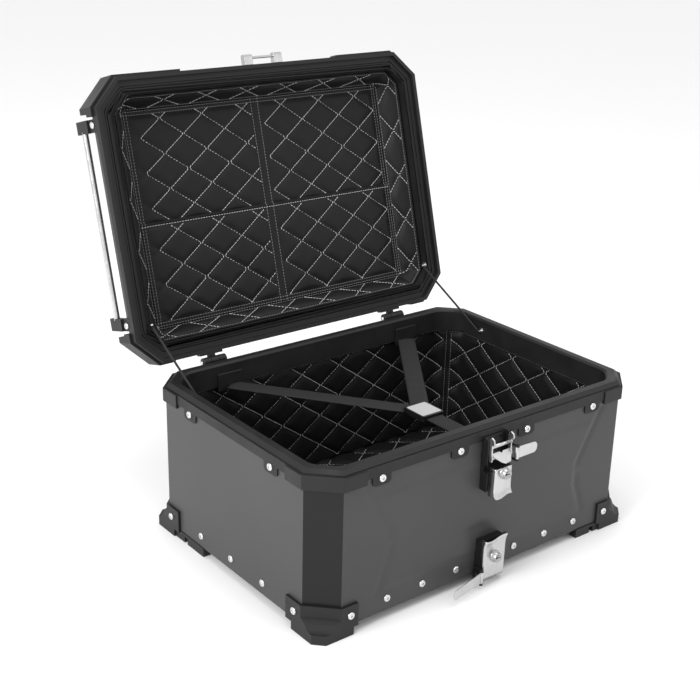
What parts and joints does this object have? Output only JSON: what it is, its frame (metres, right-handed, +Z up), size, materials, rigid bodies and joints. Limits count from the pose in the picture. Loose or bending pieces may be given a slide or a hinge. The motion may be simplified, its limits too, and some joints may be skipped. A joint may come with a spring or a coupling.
{
  "type": "motorcycle top case",
  "caption": "Rigid luggage case with bevelled corners, a hinged lid held open by two cords, quilted lining, straps, draw latches with locks and tie-down rails.",
  "frame": {"origin": "centre of the four mounting holes, on the underside of the floor pan", "axes": "X across the case's width, -Y out of the front with the latches, +Z up out of the case's mouth"},
  "size_m": [0.517, 0.5431, 0.5664],
  "materials": {
    "panel_paint": "satin dark grey paint",
    "post_paint": "satin near-black paint",
    "black_plastic": "moulded, fine grain",
    "bright_steel": "satin",
    "rail_aluminium": "polished tube",
    "seal_rubber": "matte",
    "quilted_leather": "quilted, pale diamond stitching",
    "webbing": "woven"
  },
  "bodies": {
    "case": {"base_rim": "black_plastic", "cord_base_eyes": "bright_steel", "cord_left": "webbing", "cord_right": "webbing", "corner_post_bl": "post_paint", "corner_post_br": "post_paint", "corner_post_fl": "post_paint", "corner_post_fr": "post_paint", "floor_pan": "panel_paint", "foot_guard_bl": "black_plastic", "foot_guard_br": "black_plastic", "foot_guard_fl": "black_plastic", "foot_guard_fr": "black_plastic", "guard_screws": "bright_steel", "hinge_base_left": "black_plastic", "hinge_base_right": "black_plastic", "hinge_pins": "bright_steel", "lining_floor": "quilted_leather", "lining_walls": "quilted_leather", "lower_latch_base": "black_plastic", "lower_latch_tongue": "bright_steel", "panel_back": "panel_paint", "panel_front": "panel_paint", "panel_left": "panel_paint", "panel_right": "panel_paint", "rim_cap_bl": "black_plastic", "rim_cap_br": "black_plastic", "rim_cap_fl": "black_plastic", "rim_cap_fr": "black_plastic", "rim_screws": "bright_steel", "sill_screws": "bright_steel", "strap_anchors": "black_plastic", "strap_buckle": "bright_steel", "strap_front": "webbing", "strap_left": "webbing", "strap_right": "webbing", "upper_latch_base": "black_plastic"},
    "lid": {"cord_lid_eyes": "bright_steel", "hinge_lid_left": "black_plastic", "hinge_lid_right": "black_plastic", "lid_guard_bl": "black_plastic", "lid_guard_br": "black_plastic", "lid_guard_fl": "black_plastic", "lid_guard_fr": "black_plastic", "lid_keeper": "bright_steel", "lid_lining": "quilted_leather", "lid_rim": "black_plastic", "lid_seal": "seal_rubber", "lid_shell": "panel_paint", "rail_brackets": "black_plastic", "rail_left": "rail_aluminium", "rail_right": "rail_aluminium", "rail_screws": "bright_steel"},
    "upper_cover": {"upper_latch_cover": "bright_steel"},
    "upper_key": {"upper_latch_key": "bright_steel"},
    "upper_hook": {"upper_latch_hook": "bright_steel"},
    "upper_flap": {"upper_latch_flap": "bright_steel"},
    "lower_cover": {"lower_latch_cover": "bright_steel"},
    "lower_key": {"lower_latch_key": "bright_steel"},
    "lower_flap": {"lower_latch_flap": "bright_steel"}
  },
  "joints": [
    {"name": "lid_hinge", "type": "hinge", "parent": "case", "child": "lid", "pos_m": [0, 0.1912, 0.1853], "axis": [1, 0, 0], "range_deg": [0, 105.4], "deforming": ["cord_left", "cord_right"]},
    {"name": "upper_cover_hinge", "type": "hinge", "parent": "case", "child": "upper_cover", "pos_m": [0, -0.19055, 0.141], "axis": [-1, 0, 0], "range_deg": [0, 65]},
    {"name": "upper_hook_pivot", "type": "hinge", "parent": "upper_cover", "child": "upper_hook", "pos_m": [0, -0.19255, 0.125], "axis": [-1, 0, 0], "range_deg": [-65, 0]},
    {"name": "upper_key_turn", "type": "hinge", "parent": "upper_cover", "child": "upper_key", "pos_m": [0, -0.19, 0.1385], "axis": [0, -1, 0], "range_deg": [0, 90]},
    {"name": "upper_flap_hinge", "type": "hinge", "parent": "case", "child": "upper_flap", "pos_m": [0.0207, -0.195, 0.155], "axis": [0, 0, 1], "range_deg": [-150, 0]},
    {"name": "lower_cover_hinge", "type": "hinge", "parent": "case", "child": "lower_cover", "pos_m": [0, -0.1879, 0.002], "axis": [1, 0, 0], "range_deg": [0, 80]},
    {"name": "lower_key_turn", "type": "hinge", "parent": "lower_cover", "child": "lower_key", "pos_m": [0, -0.19, 0.025], "axis": [0, -1, 0], "range_deg": [0, 90]},
    {"name": "lower_flap_hinge", "type": "hinge", "parent": "case", "child": "lower_flap", "pos_m": [-0.0207, -0.1915, 0.0025], "axis": [0, 0, -1], "range_deg": [-158, 0]}
  ],
  "couplings": [
    {"joint": "upper_hook_pivot", "follows": "upper_cover_hinge", "ratio": -1}
  ]
}
